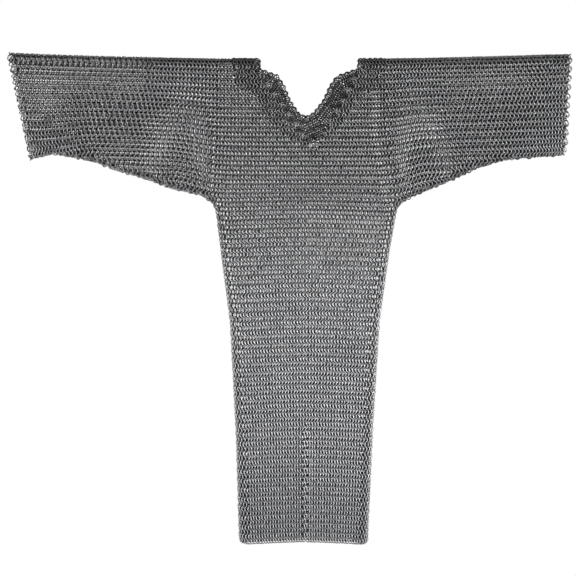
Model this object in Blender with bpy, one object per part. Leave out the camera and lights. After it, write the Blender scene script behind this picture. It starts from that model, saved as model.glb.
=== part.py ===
"""A mail shirt, as it hangs by its sleeves and shoulders.

The mail is built field by field, as a mail maker joins it: plates of mail in front and behind, and
round folds where the mail turns over along the top, under the sleeves and down the sides. All lengths
are in metres. X runs along the top to the wearer's left, Y points to the back and Z points up. The
origin is on the axis of the fold along the top, in the middle of the neck.
"""

import math

import bmesh
import bpy
from mathutils import Matrix, Vector

# The rings and their weave
RING_OUTSIDE = 0.0126
RING_WIRE = 0.002
ROW_PITCH = 0.0083
ROW_RELIEF = 0.0022
MAIL_THICKNESS = 0.007
SEAM = 0.0003
# Cuts at a row leave out corners that are this near to it already
CUT_TOLERANCE = 0.000003

# The rings that show whole along the open edges
EDGE_RING_GAP = 0.0005
EDGE_RING_LEAN = math.radians(28)
EDGE_RING_MARGIN = 0.0015

# The fold along the top: the diameter that it fits over, the gap to that all round, and how much
# higher its axis is at this distance from the neck
TOP_ROUND = 0.022
TOP_CLEARANCE = 0.0005
TOP_SAG = 0.0115
TOP_SAG_REACH = 0.538

# The neck, to the line that its edge rings are centred on
NECK_LEFT = 0.0955
NECK_RIGHT = 0.0865
NECK_LOWEST_X = 0.0117
FRONT_NECK_DEPTH = 0.146
BACK_NECK_LOWEST_X = -0.0018
BACK_NECK_DEPTH = 0.0875
YOKE_BELOW_NECK = 0.012

# The sleeves, from the middle of the neck to the top and the bottom corner of each cuff
LEFT_CUFF_TOP = 0.478
LEFT_CUFF_BOTTOM = 0.462
LEFT_CUFF_DEPTH = 0.155
RIGHT_CUFF_TOP = 0.538
RIGHT_CUFF_BOTTOM = 0.498
RIGHT_CUFF_DEPTH = 0.162
RIGHT_CUFF_NOTCH = 0.036
RIGHT_CUFF_NOTCH_RISE = 0.011

# The body, as half widths from the middle of the neck and as depths below the top's axis
ARMPIT_DEPTH = 0.241
ARMPIT_BEND = 0.030
CHEST_DEPTH = 0.333
WAIST_DEPTH = 0.452
SHIRT_LENGTH = 0.856
SLIT_LENGTH = 0.201
SLIT_GAP = 0.0012
SLIT_X = -0.003
LEFT_HALF_WIDTHS = {"armpit": 0.165, "chest": 0.149, "waist": 0.132, "hip": 0.119, "hem": 0.110}
RIGHT_HALF_WIDTHS = {"armpit": 0.165, "chest": 0.154, "waist": 0.138, "hip": 0.127, "hem": 0.121}

# The bands of mail that bend at each joint
ARMPIT_TO_SHOULDER_AXIS = 0.035
SHOULDER_BAND = 0.044
WAIST_BAND = 0.044
HIP_BAND = 0.040

# What follows from the sizes above
EDGE_RING_PITCH = RING_OUTSIDE + EDGE_RING_GAP
INNER = TOP_ROUND / 2 + TOP_CLEARANCE
OUTER = INNER + MAIL_THICKNESS
MIDDLE = INNER + MAIL_THICKNESS / 2
EDGE_REACH = RING_OUTSIDE / 2
WAIST_TOP = -WAIST_DEPTH + WAIST_BAND / 2
WAIST_BOTTOM = -WAIST_DEPTH - WAIST_BAND / 2
HEM = -SHIRT_LENGTH + EDGE_REACH
SLIT_TOP = -SHIRT_LENGTH + SLIT_LENGTH
HIP_AXIS = SLIT_TOP - HIP_BAND / 2
SKIRT_TOP = SLIT_TOP - HIP_BAND
GUSSET_END = -ARMPIT_DEPTH - ARMPIT_BEND
# A sloping section this near an upright cut would reach through it
CUT_CLEARANCE = OUTER / 2

# The lower edge of each sleeve from its cuff to the armpit, as shares of that run and of its drop
LEFT_UNDERSIDE_SHARES = ((0.33, 0.10), (0.51, 0.27), (0.67, 0.53), (0.85, 0.79))
RIGHT_UNDERSIDE_SHARES = ((0.23, 0.16), (0.40, 0.36), (0.57, 0.52), (0.74, 0.72), (0.91, 0.84))

# The edge of the back of the neck, as shares of the neck's half width and of its depth
BACK_NECK_SHARES = ((1.0, 0.0), (0.6, 0.14), (0.46, 0.36), (0.36, 0.62), (0.17, 0.9), (0.0, 1.0))

ARCH_FACETS = 8
ARCH_INNER_FACETS = 7
SIDE_FACETS = 5
BEND_STEPS = 4
RING_STEPS = 8
WIRE_SIDES = 4
TOP_STEPS = 4
# Facets that meet at less than these angles are shaded as one surface
ROUND_CREASE = math.radians(40)
ROW_CREASE = math.radians(8)

STEEL = {
    "shoulders": (0.115, 0.118, 0.124),
    "sleeve": (0.125, 0.128, 0.134),
    "body": (0.160, 0.163, 0.170),
    "skirt": (0.140, 0.143, 0.150),
}
STEEL_ROUGHNESS = 0.42


def top_height(x):
    """The height of the top's axis, which is lowest at the neck."""
    return TOP_SAG * (x / TOP_SAG_REACH) ** 2


def row_offset(z):
    """How far the mail stands back at height z, where rows lean out and in by turns."""
    return ROW_RELIEF * (0.5 + 0.5 * math.cos(math.pi * z / ROW_PITCH))


# Lines in the front view, as points (x, z)


def cross(a, b):
    return a[0] * b[1] - a[1] * b[0]


def meet(p, along, q, other):
    """The point where the line through p meets the line through q."""
    t = cross((q[0] - p[0], q[1] - p[1]), other) / cross(along, other)
    return (p[0] + t * along[0], p[1] + t * along[1])


def unit(a, b):
    length = math.hypot(b[0] - a[0], b[1] - a[1])
    return ((b[0] - a[0]) / length, (b[1] - a[1]) / length)


def inset(points, distance):
    """The line at this distance to the left of a line of points, with mitred corners."""
    runs = [unit(a, b) for a, b in zip(points, points[1:])]
    sides = [((a[0] - distance * d[1], a[1] + distance * d[0]), d) for a, d in zip(points, runs)]
    last = (points[-1][0] - distance * runs[-1][1], points[-1][1] + distance * runs[-1][0])
    inner = [sides[0][0]]
    for (p, along), (q, other) in zip(sides, sides[1:]):
        inner.append(meet(p, along, q, other))
    return inner + [last]


def bend(points, corner, reach):
    """The line with one corner turned into a curve that starts this far before it."""
    before = unit(points[corner], points[corner - 1])
    after = unit(points[corner], points[corner + 1])
    curve = []
    for step in range(BEND_STEPS + 1):
        t = step / BEND_STEPS
        a, b = (1 - t) ** 2 * reach, t**2 * reach
        curve.append(tuple(points[corner][i] + a * before[i] + b * after[i] for i in range(2)))
    return points[:corner] + curve + points[corner + 1 :]


def between(points, axis, start, stop):
    """The stretch of a line whose x (axis 0) or z (axis 1) runs from start to stop."""
    low, high = min(start, stop), max(start, stop)
    found = []
    for a, b in zip(points, points[1:]):
        for limit in (start, stop):
            if (a[axis] - limit) * (b[axis] - limit) < 0:
                t = (limit - a[axis]) / (b[axis] - a[axis])
                found.append(tuple(a[i] + t * (b[i] - a[i]) for i in range(2)))
    found += [p for p in points if low <= p[axis] <= high]
    order = {p: measure_along(points, p) for p in found}
    return sorted(order, key=order.get)


def measure_along(points, place):
    """How far along a line of points its nearest place to this one lies."""
    best, walked, nearest = 0, 0, math.inf
    for a, b in zip(points, points[1:]):
        along, length = unit(a, b), math.dist(a, b)
        t = (place[0] - a[0]) * along[0] + (place[1] - a[1]) * along[1]
        t = min(max(t, 0), length)
        off = math.hypot(a[0] + t * along[0] - place[0], a[1] + t * along[1] - place[1])
        if off < nearest:
            best, nearest = walked + t, off
        walked += length
    return best


def nearest_on(points, place):
    """The nearest place on a line of points."""
    left = measure_along(points, place)
    for a, b in zip(points, points[1:]):
        length = math.dist(a, b)
        if left <= length:
            break
        left -= length
    along = unit(a, b)
    return (a[0] + left * along[0], a[1] + left * along[1])


class Side:
    """One side of the shirt: sign is 1 for the wearer's left and -1 for the right."""

    def __init__(self, name, sign, neck, cuff, notch, widths, shares):
        self.name, self.sign, self.neck = name, sign, neck
        cuff_top, cuff_bottom, cuff_depth = cuff
        cuff_top, cuff_bottom = cuff_top - EDGE_REACH, cuff_bottom - EDGE_REACH
        self.axis = widths["armpit"] + ARMPIT_TO_SHOULDER_AXIS
        self.band_inside = self.axis - SHOULDER_BAND / 2
        self.band_outside = self.axis + SHOULDER_BAND / 2
        start = (cuff_bottom - notch[0], notch[1] - cuff_depth)
        run = (widths["armpit"] - start[0], -ARMPIT_DEPTH - start[1])
        underside = [(start[0] + x * run[0], start[1] + z * run[1]) for x, z in shares]
        armpit = (widths["armpit"], -ARMPIT_DEPTH)
        flank = [
            (widths["chest"], -CHEST_DEPTH),
            (widths["waist"], -WAIST_DEPTH),
            (widths["hip"], SLIT_TOP),
            (widths["hem"], HEM),
        ]
        hanging = [(cuff_bottom, -cuff_depth)] if notch[0] else []
        edge = hanging + [start] + underside + [armpit] + flank
        corner = edge.index(armpit)
        # The fold runs inside the shirt's edge by the outer half depth of the mail
        fold = bend(inset([(sign * x, z) for x, z in edge], -sign * OUTER), corner, ARMPIT_BEND)
        top = (sign * cuff_top, top_height(cuff_top) + OUTER)
        bottom = (sign * cuff_bottom, -cuff_depth)
        self.cuff_line = unit(bottom, top)
        fold[0] = meet(fold[0], unit(fold[0], fold[1]), bottom, self.cuff_line)
        self.fold = fold
        self.cuff_bottom = bottom
        crown = meet((sign * cuff_top, top_height(cuff_top)), (1, 0), bottom, self.cuff_line)
        self.cuff_reach = abs(crown[0])

    def fold_x(self, z):
        """Where the side fold's line crosses this height, below the armpit."""
        below = [p for p in self.fold if p[1] < -ARMPIT_DEPTH]
        return between(below, 1, z, z)[0][0]

    def top_line(self, start, stop):
        """The top's axis from one distance out from the neck to another."""
        steps = [start + (stop - start) * i / TOP_STEPS for i in range(TOP_STEPS + 1)]
        return [(self.sign * x, top_height(x)) for x in steps]


def offset_vectors(points, side, first, last):
    """For each point of a line, the outward step that keeps a swept wall at its true distance."""
    runs = [unit(a, b) for a, b in zip(points, points[1:])]
    normals = [(-side * d[1], side * d[0]) for d in runs]
    ways = [first]
    for a, b in zip(normals, normals[1:]):
        ways.append(unit((0, 0), (a[0] + b[0], a[1] + b[1])))
    ways.append(last)
    steps = []
    for way, normal in zip(ways, [normals[0]] + normals):
        share = way[0] * normal[0] + way[1] * normal[1]
        steps.append((way[0] / share, way[1] / share))
    return steps


def arc_section(point, step, radius, facets, ridged=False):
    """Half a round section across a fold, from the front to the back."""
    section = []
    for i in range(facets + 1):
        angle = math.pi * (i / facets - 0.5)
        r = radius - (ROW_RELIEF if ridged and i % 2 else 0)
        out, depth = r * math.cos(angle), r * math.sin(angle)
        section.append((point[0] + out * step[0], depth, point[1] + out * step[1]))
    return section


# Solids


def new_solid():
    mesh = bmesh.new()
    mesh.faces.layers.int.new("outside")
    return mesh


def add_skin(mesh, stations, outside, closed=False):
    """Quads over a run of stations of points. It returns the vertices."""
    rows = [[mesh.verts.new(point) for point in station] for station in stations]
    layer = mesh.faces.layers.int["outside"]
    for near, far in zip(rows, rows[1:]):
        count = len(near)
        for i in range(count if closed else count - 1):
            j = (i + 1) % count
            face = mesh.faces.new((near[i], near[j], far[j], far[i]))
            face[layer] = outside
    return rows


def channel(outer, inner):
    """A wall between an outer and an inner run of stations, open along its two long edges."""
    mesh = new_solid()
    outside = add_skin(mesh, outer, 1)
    inside = add_skin(mesh, inner, 0)
    for i in range(len(outside) - 1):
        for end in (0, -1):
            corners = (outside[i][end], outside[i + 1][end], inside[i + 1][end], inside[i][end])
            mesh.faces.new(corners)
    for end in (0, -1):
        mesh.faces.new(outside[end] + inside[end][::-1])
    return mesh


def tube(outer, inner):
    """A wall that goes right round between an outer and an inner run of closed stations."""
    mesh = new_solid()
    outside = add_skin(mesh, outer, 1, closed=True)
    inside = add_skin(mesh, inner, 0, closed=True)
    for end in (0, -1):
        count = len(outside[end])
        for i in range(count):
            j = (i + 1) % count
            mesh.faces.new((outside[end][i], outside[end][j], inside[end][j], inside[end][i]))
    return mesh


def plate(outline, facing):
    """A flat field of mail with this outline, in front (-1) or behind (1)."""
    mesh = new_solid()
    layer = mesh.faces.layers.int["outside"]
    outside = [mesh.verts.new((x, facing * OUTER, z)) for x, z in outline]
    inside = [mesh.verts.new((x, facing * INNER, z)) for x, z in outline]
    mesh.faces.new(outside)[layer] = 1
    mesh.faces.new(inside[::-1])
    for i in range(len(outline)):
        j = (i + 1) % len(outline)
        mesh.faces.new((outside[i], inside[i], inside[j], outside[j]))
    return mesh


def add_rows(mesh, outward):
    """Cuts the outside at each row of rings, and sets back the rows that lean in."""
    layer = mesh.faces.layers.int["outside"]
    heights = [v.co.z for v in mesh.verts]
    for row in range(math.ceil(min(heights) / ROW_PITCH), math.floor(max(heights) / ROW_PITCH) + 1):
        faces = [f for f in mesh.faces if f[layer]]
        edges = {e for f in faces for e in f.edges}
        verts = {v for f in faces for v in f.verts}
        bmesh.ops.bisect_plane(
            mesh,
            geom=faces + list(edges) + list(verts),
            plane_co=(0, 0, row * ROW_PITCH),
            plane_no=(0, 0, 1),
            dist=CUT_TOLERANCE,
        )
    for vertex in {v for f in mesh.faces if f[layer] for v in f.verts}:
        vertex.co -= row_offset(vertex.co.z) * outward(vertex.co)


def finish(mesh, name, body, tone, crease=ROUND_CREASE):
    """Makes the solid an object that hangs from its body's empty."""
    bmesh.ops.recalc_face_normals(mesh, faces=mesh.faces)
    if mesh.calc_volume(signed=True) < 0:
        bmesh.ops.reverse_faces(mesh, faces=mesh.faces)
    mesh.faces.layers.int.remove(mesh.faces.layers.int["outside"])
    data = bpy.data.meshes.new(name)
    mesh.to_mesh(data)
    mesh.free()
    pivot = BODIES[body]["empty"]
    data.transform(Matrix.Translation(-Vector(BODIES[body]["pivot"])))
    data.shade_smooth()
    data.set_sharp_from_angle(angle=crease)
    data.materials.append(steel(name, tone))
    solid = bpy.data.objects.new(name, data)
    bpy.context.scene.collection.objects.link(solid)
    solid.parent = pivot
    return solid


def add_ring(mesh, centre, out, along):
    """One ring whose plane holds these two directions."""
    axis = out.cross(along)
    radius = (RING_OUTSIDE - RING_WIRE) / 2
    rows = []
    for i in range(RING_STEPS):
        turn = 2 * math.pi * (i + 0.5) / RING_STEPS
        away = math.cos(turn) * out + math.sin(turn) * along
        row = []
        for j in range(WIRE_SIDES):
            around = 2 * math.pi * j / WIRE_SIDES
            reach = radius + RING_WIRE / 2 * math.cos(around)
            row.append(mesh.verts.new(centre + reach * away + RING_WIRE / 2 * math.sin(around) * axis))
        rows.append(row)
    for i, row in enumerate(rows):
        following = rows[(i + 1) % RING_STEPS]
        for j in range(WIRE_SIDES):
            k = (j + 1) % WIRE_SIDES
            mesh.faces.new((row[j], following[j], following[k], row[k]))


def fuse_rings(solid, run, out):
    """Lets a row of rings stand half out of a solid's open edge, which follows a run of points."""
    run = [Vector(p) for p in run]
    length = sum((b - a).length for a, b in zip(run, run[1:]))
    spare = length - RING_OUTSIDE - 2 * EDGE_RING_MARGIN
    count = max(math.floor(spare / EDGE_RING_PITCH) + 1, 1)
    start = (length - (count - 1) * EDGE_RING_PITCH) / 2
    mesh = bmesh.new()
    for i in range(count):
        left = start + i * EDGE_RING_PITCH
        for a, b in zip(run, run[1:]):
            if left <= (b - a).length:
                break
            left -= (b - a).length
        along = (b - a).normalized()
        facing = out(along).normalized()
        lean = EDGE_RING_LEAN * (-1) ** i
        wall = along.cross(facing)
        add_ring(mesh, a + left * along, facing, math.cos(lean) * along + math.sin(lean) * wall)
    bmesh.ops.recalc_face_normals(mesh, faces=mesh.faces)
    data = bpy.data.meshes.new(solid.name + "_rings")
    mesh.to_mesh(data)
    mesh.free()
    data.transform(Matrix.Translation(-Vector(solid.parent["pivot"])))
    data.shade_smooth()
    rings = bpy.data.objects.new(solid.name + "_rings", data)
    bpy.context.scene.collection.objects.link(rings)
    rings.parent = solid.parent
    rings.hide_render = True
    rings.display_type = "WIRE"
    union = solid.modifiers.new("Edge rings", "BOOLEAN")
    union.operation = "UNION"
    union.object = rings


def upright(run, facing):
    """A run of front view points on the middle of a plate of mail."""
    return [(x, facing * MIDDLE, z) for x, z in run]


def to(direction):
    return lambda along: Vector(direction)


def beside(sign):
    """The direction square to an edge in the front view."""
    return lambda along: sign * Vector((-along.z, 0, along.x))


def steel(name, tone):
    material = bpy.data.materials.new(name + "_steel")
    material.use_nodes = True
    shader = material.node_tree.nodes["Principled BSDF"]
    shader.inputs["Base Color"].default_value = (*STEEL[tone], 1)
    shader.inputs["Metallic"].default_value = 1
    shader.inputs["Roughness"].default_value = STEEL_ROUGHNESS
    return material


# Joint axes, each on an empty that carries its body's solids

LEFT_AXIS = LEFT_HALF_WIDTHS["armpit"] + ARMPIT_TO_SHOULDER_AXIS
RIGHT_AXIS = RIGHT_HALF_WIDTHS["armpit"] + ARMPIT_TO_SHOULDER_AXIS
BODIES = {
    "shoulders": {"pivot": (0, 0, 0), "parent": None},
    "sleeve_left": {"pivot": (LEFT_AXIS, 0, 0), "parent": "shoulders"},
    "sleeve_right": {"pivot": (-RIGHT_AXIS, 0, 0), "parent": "shoulders"},
    "lower_body": {"pivot": (0, 0, -WAIST_DEPTH), "parent": "shoulders"},
    "skirt_left": {"pivot": (0, 0, HIP_AXIS), "parent": "lower_body"},
    "skirt_right": {"pivot": (0, 0, HIP_AXIS), "parent": "lower_body"},
}


def add_bodies():
    for name, body in BODIES.items():
        empty = bpy.data.objects.new(name + "_axis", None)
        bpy.context.scene.collection.objects.link(empty)
        empty.location = body["pivot"]
        if body["parent"]:
            parent = BODIES[body["parent"]]
            empty.parent = parent["empty"]
            empty.location = Vector(body["pivot"]) - Vector(parent["pivot"])
        empty["pivot"] = body["pivot"]
        body["empty"] = empty


def front_out(_):
    return Vector((0, -1, 0))


def back_out(_):
    return Vector((0, 1, 0))


def fold_out(line):
    """The way out of a fold, square to its line."""

    def outward(place):
        x, z = nearest_on(line, (place.x, place.z))
        return Vector((place.x - x, place.y, place.z - z)).normalized()

    return outward


def add_plate(name, body, tone, outline, facing):
    """A plate whose outline already stands back from its neighbours by half a seam."""
    mesh = plate(outline, facing)
    add_rows(mesh, front_out if facing < 0 else back_out)
    return finish(mesh, name, body, tone, ROW_CREASE)


def add_fold(name, body, tone, side, line, first, last):
    """A round fold of mail along a line, opening inwards."""
    steps = offset_vectors(line, side, first, last)
    outer = [arc_section(p, s, OUTER, SIDE_FACETS) for p, s in zip(line, steps)]
    inner = [arc_section(p, s, INNER, SIDE_FACETS) for p, s in zip(line, steps)]
    mesh = channel(outer, inner)
    add_rows(mesh, fold_out(line))
    return finish(mesh, name, body, tone)


def add_arch(name, body, tone, side, line, first, last):
    """A ridged fold whose rows run along its line. Its inner side is flat where it hangs."""
    steps = offset_vectors(line, side, first, last)
    outer = [arc_section(p, s, OUTER, ARCH_FACETS, ridged=True) for p, s in zip(line, steps)]
    inner = [arc_section(p, s, INNER, ARCH_INNER_FACETS) for p, s in zip(line, steps)]
    return finish(channel(outer, inner), name, body, tone)


def shortened(line, start, stop):
    """The line with its first and last ends drawn in by these lengths."""
    first, last = unit(line[0], line[1]), unit(line[-1], line[-2])
    line = list(line)
    line[0] = (line[0][0] + start * first[0], line[0][1] + start * first[1])
    line[-1] = (line[-1][0] + stop * last[0], line[-1][1] + stop * last[1])
    return line


def raised(line, distance):
    return [(x, z + distance) for x, z in line]


def moved_in(line, sign, distance):
    return [(x - sign * distance, z) for x, z in line]


def add_top(side, name, body, tone, start, stop, cuff=None):
    """The mail over the top, from one distance out from the neck to another, with its open edge."""
    line = raised(side.top_line(start, stop), SEAM / 2)
    upwards = (0, 1)
    solid = add_arch(name, body, tone, side.sign, line, upwards, cuff or upwards)
    steps = offset_vectors(line, side.sign, upwards, cuff or upwards)
    end = -1 if cuff else 0
    edge = arc_section(line[end], steps[end], MIDDLE, ARCH_FACETS)
    fuse_rings(solid, edge, to((side.sign * (1 if cuff else -1), 0, 0)))


def add_yoke(side):
    """The fields beside the neck, in front and behind."""
    sign, half = side.sign, SEAM / 2
    outer_x = sign * (side.band_inside - half)
    top = raised(side.top_line(side.neck, side.band_inside - half), -half)
    front_low = -FRONT_NECK_DEPTH - YOKE_BELOW_NECK + half
    middle = NECK_LOWEST_X + sign * half
    front = top + [(outer_x, front_low), (middle, front_low), (middle, -FRONT_NECK_DEPTH)]
    solid = add_plate("yoke_front_" + side.name, "shoulders", "shoulders", front, -1)
    fuse_rings(solid, upright([front[-1], front[0]], -1), beside(sign))
    width = side.neck - sign * BACK_NECK_LOWEST_X
    back_low = -BACK_NECK_DEPTH - YOKE_BELOW_NECK + half
    edge = []
    for x, z in BACK_NECK_SHARES[:0:-1]:
        edge.append((BACK_NECK_LOWEST_X + sign * (x * width + half), -BACK_NECK_DEPTH * z))
    back = top + [(outer_x, back_low), (edge[0][0], back_low)] + edge
    solid = add_plate("yoke_back_" + side.name, "shoulders", "shoulders", back, 1)
    fuse_rings(solid, upright(edge + [top[0]], 1), beside(sign))


def chest_edge(side, top):
    """The side of a chest plate, from its top down past the shoulder band and round the armpit."""
    half = SEAM / 2
    x = side.sign * (side.band_inside - half)
    around = between(side.fold, 0, side.sign * side.band_inside, side.sign * side.band_inside)
    low = between(side.fold, 1, around[0][1], GUSSET_END)
    edge = inset(low, -side.sign * SEAM)
    edge[-1] = (edge[-1][0], GUSSET_END + half)
    first = meet(edge[0], unit(edge[0], edge[1]), (x, 0), (0, 1))
    return [(x, top), first] + edge[1:]


def flank_edge(side, top, bottom):
    """The side of a body plate between two heights."""
    half = SEAM / 2
    line = moved_in(between(side.fold, 1, top, bottom), side.sign, SEAM)
    line[0] = (line[0][0], top - half)
    line[-1] = (line[-1][0], bottom + half)
    return line


def add_body_plates(sides):
    """The plates across the whole shirt: chest, midriff and waist."""
    left, right = sides
    for facing, word, neck in ((-1, "front", FRONT_NECK_DEPTH), (1, "back", BACK_NECK_DEPTH)):
        top = -neck - YOKE_BELOW_NECK - SEAM / 2
        chest = chest_edge(left, top) + chest_edge(right, top)[::-1]
        add_plate("chest_" + word, "shoulders", "body", chest, facing)
        for name, body, top, bottom in (
            ("midriff_", "shoulders", GUSSET_END, WAIST_TOP),
            ("waist_", "lower_body", WAIST_BOTTOM, SLIT_TOP),
        ):
            outline = flank_edge(left, top, bottom) + flank_edge(right, top, bottom)[::-1]
            add_plate(name + word, body, "body", outline, facing)


def add_skirt_plates(side):
    for facing, word in ((-1, "front"), (1, "back")):
        edge = flank_edge(side, SKIRT_TOP, HEM - SEAM / 2)
        slit = SLIT_X + side.sign * SLIT_GAP / 2
        outline = edge + [(slit, edge[-1][1]), (slit, edge[0][1])]
        name = "skirt_" + word + "_" + side.name
        solid = add_plate(name, "skirt_" + side.name, "skirt", outline, facing)
        fuse_rings(solid, upright([edge[-1], (slit, edge[-1][1])], facing), to((0, 0, -1)))


def add_side_folds(side):
    """The folds round the armpit and down the side."""
    name, sign = side.name, side.sign
    around = between(side.fold, 0, sign * side.band_inside, sign * side.band_inside)
    corner = between(side.fold, 1, around[0][1], GUSSET_END)
    corner = corner[:1] + [p for p in corner[1:] if sign * p[0] < side.band_inside - CUT_CLEARANCE]
    gusset = shortened(corner, SEAM / 2, SEAM / 2)
    add_fold("armpit_gusset_" + name, "shoulders", "body", sign, gusset, (0, -1), (sign, 0))
    level = (sign, 0)
    for word, body, tone, top, bottom in (
        ("midriff_side_", "shoulders", "body", GUSSET_END, WAIST_TOP),
        ("waist_side_", "lower_body", "body", WAIST_BOTTOM, SLIT_TOP),
        ("skirt_side_", "skirt_" + name, "skirt", SKIRT_TOP, HEM - SEAM / 2),
    ):
        line = shortened(between(side.fold, 1, top, bottom), SEAM / 2, SEAM / 2)
        solid = add_fold(word + name, body, tone, sign, line, level, level)
    steps = offset_vectors(line, sign, level, level)
    fuse_rings(solid, arc_section(line[-1], steps[-1], MIDDLE, SIDE_FACETS), to((0, 0, -1)))


def add_sleeve(side):
    """One sleeve: over the top, in front, behind and the fold under the arm."""
    name, sign, half = side.name, side.sign, SEAM / 2
    body = "sleeve_" + name
    start = side.band_outside + half
    cuff = side.cuff_line
    add_top(side, "sleeve_top_" + name, body, "sleeve", start, side.cuff_reach, cuff)
    fold = [p for p in side.fold if sign * p[0] > side.band_outside + CUT_CLEARANCE]
    fold.append(between(side.fold, 0, sign * side.band_outside, sign * side.band_outside)[0])
    under = shortened(fold, 0, half)
    cuts = ((-cuff[0], -cuff[1]), (0, -1))
    solid = add_fold("sleeve_under_" + name, body, "sleeve", sign, under, *cuts)
    step = offset_vectors(under, sign, *cuts)[0]
    outwards = to((sign * cuff[1], 0, -sign * cuff[0]))
    fuse_rings(solid, arc_section(under[0], step, MIDDLE, SIDE_FACETS), outwards)
    lower = raised(fold, SEAM)
    lower[-1] = meet(lower[-2], unit(lower[-2], lower[-1]), (sign * start, 0), (0, 1))
    top = raised(side.top_line(start, side.cuff_reach), -half)
    for facing, word in ((-1, "front"), (1, "back")):
        solid = add_plate("sleeve_" + word + "_" + name, body, "sleeve", top + lower, facing)
        fuse_rings(solid, upright([top[-1], lower[0]], facing), outwards)


def loop(centres, radius):
    """A closed section round two folds, as distances along the shirt's face and depths."""
    points = []
    for centre, way in zip(centres, (1, -1)):
        for i in range(SIDE_FACETS + 1):
            angle = math.pi * (i / SIDE_FACETS - 0.5)
            points.append((centre + way * radius * math.cos(angle), way * radius * math.sin(angle)))
    return points


def add_waist_band(sides):
    left, right = sides
    top, bottom = WAIST_TOP - SEAM / 2, WAIST_BOTTOM + SEAM / 2
    outer, inner = [], []
    for z in (top, -WAIST_DEPTH, bottom):
        centres = (left.fold_x(z), right.fold_x(z))
        outer.append([(x, y, z) for x, y in loop(centres, OUTER)])
        inner.append([(x, y, z) for x, y in loop(centres, INNER)])
    mesh = tube(outer, inner)
    limits = (left.fold_x(-WAIST_DEPTH), right.fold_x(-WAIST_DEPTH))
    add_rows(mesh, round_out(limits))
    finish(mesh, "waist_fold", "shoulders", "body")


def round_out(limits):
    """The way out of a band that goes round both sides between these fold centres."""

    def outward(place):
        x = min(max(place.x, min(limits)), max(limits))
        return Vector((place.x - x, place.y, 0)).normalized()

    return outward


def add_hip_band(side):
    """Half a band from the slit in front, round the side, to the slit behind."""
    slit = SLIT_X + side.sign * SLIT_GAP / 2
    outer, inner = [], []
    for z in (SLIT_TOP - SEAM / 2, SKIRT_TOP + SEAM / 2):
        centre = side.fold_x(z)
        for radius, stations in ((OUTER, outer), (INNER, inner)):
            arc = arc_section((centre, z), (side.sign, 0), radius, SIDE_FACETS)
            stations.append([(slit, -radius, z)] + arc + [(slit, radius, z)])
    mesh = channel(outer, inner)
    add_rows(mesh, round_out((slit, side.fold_x(HIP_AXIS))))
    finish(mesh, "hip_fold_" + side.name, "lower_body", "skirt")


def add_shoulder_band(side):
    sign = side.sign
    outer, inner = [], []
    for x in (side.band_inside + SEAM / 2, side.axis, side.band_outside - SEAM / 2):
        low = between(side.fold, 0, sign * x, sign * x)[0][1]
        centres = (top_height(x), low)
        outer.append([(sign * x, y, z) for z, y in loop(centres, OUTER)])
        inner.append([(sign * x, y, z) for z, y in loop(centres, INNER)])
    finish(tube(outer, inner), "shoulder_fold_" + side.name, "shoulders", "shoulders")


def clear_scene():
    for thing in list(bpy.data.objects):
        bpy.data.objects.remove(thing)


def main():
    clear_scene()
    add_bodies()
    left_cuff = (LEFT_CUFF_TOP, LEFT_CUFF_BOTTOM, LEFT_CUFF_DEPTH)
    right_cuff = (RIGHT_CUFF_TOP, RIGHT_CUFF_BOTTOM, RIGHT_CUFF_DEPTH)
    notch = (RIGHT_CUFF_NOTCH, RIGHT_CUFF_NOTCH_RISE)
    sides = (
        Side("left", 1, NECK_LEFT, left_cuff, (0, 0), LEFT_HALF_WIDTHS, LEFT_UNDERSIDE_SHARES),
        Side("right", -1, NECK_RIGHT, right_cuff, notch, RIGHT_HALF_WIDTHS, RIGHT_UNDERSIDE_SHARES),
    )
    add_body_plates(sides)
    add_waist_band(sides)
    for side in sides:
        inside = side.band_inside - SEAM / 2
        add_top(side, "shoulder_top_" + side.name, "shoulders", "shoulders", side.neck, inside)
        add_yoke(side)
        add_shoulder_band(side)
        add_side_folds(side)
        add_sleeve(side)
        add_hip_band(side)
        add_skirt_plates(side)


main()
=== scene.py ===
"""The looks of a mail shirt that hangs from its sleeves and shoulders, laid ring by ring.

Rings hang in level rows over the shoulders, down the sleeves and round the body. Each row leans the
other way from the rows above and below it and stands half a column over, as in four-in-one mail.
x runs to the wearer's left, y to the back and z up, in metres, from the middle of the neck.
"""

import math

import bpy
import numpy as np
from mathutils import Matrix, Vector
from mathutils.kdtree import KDTree


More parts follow.
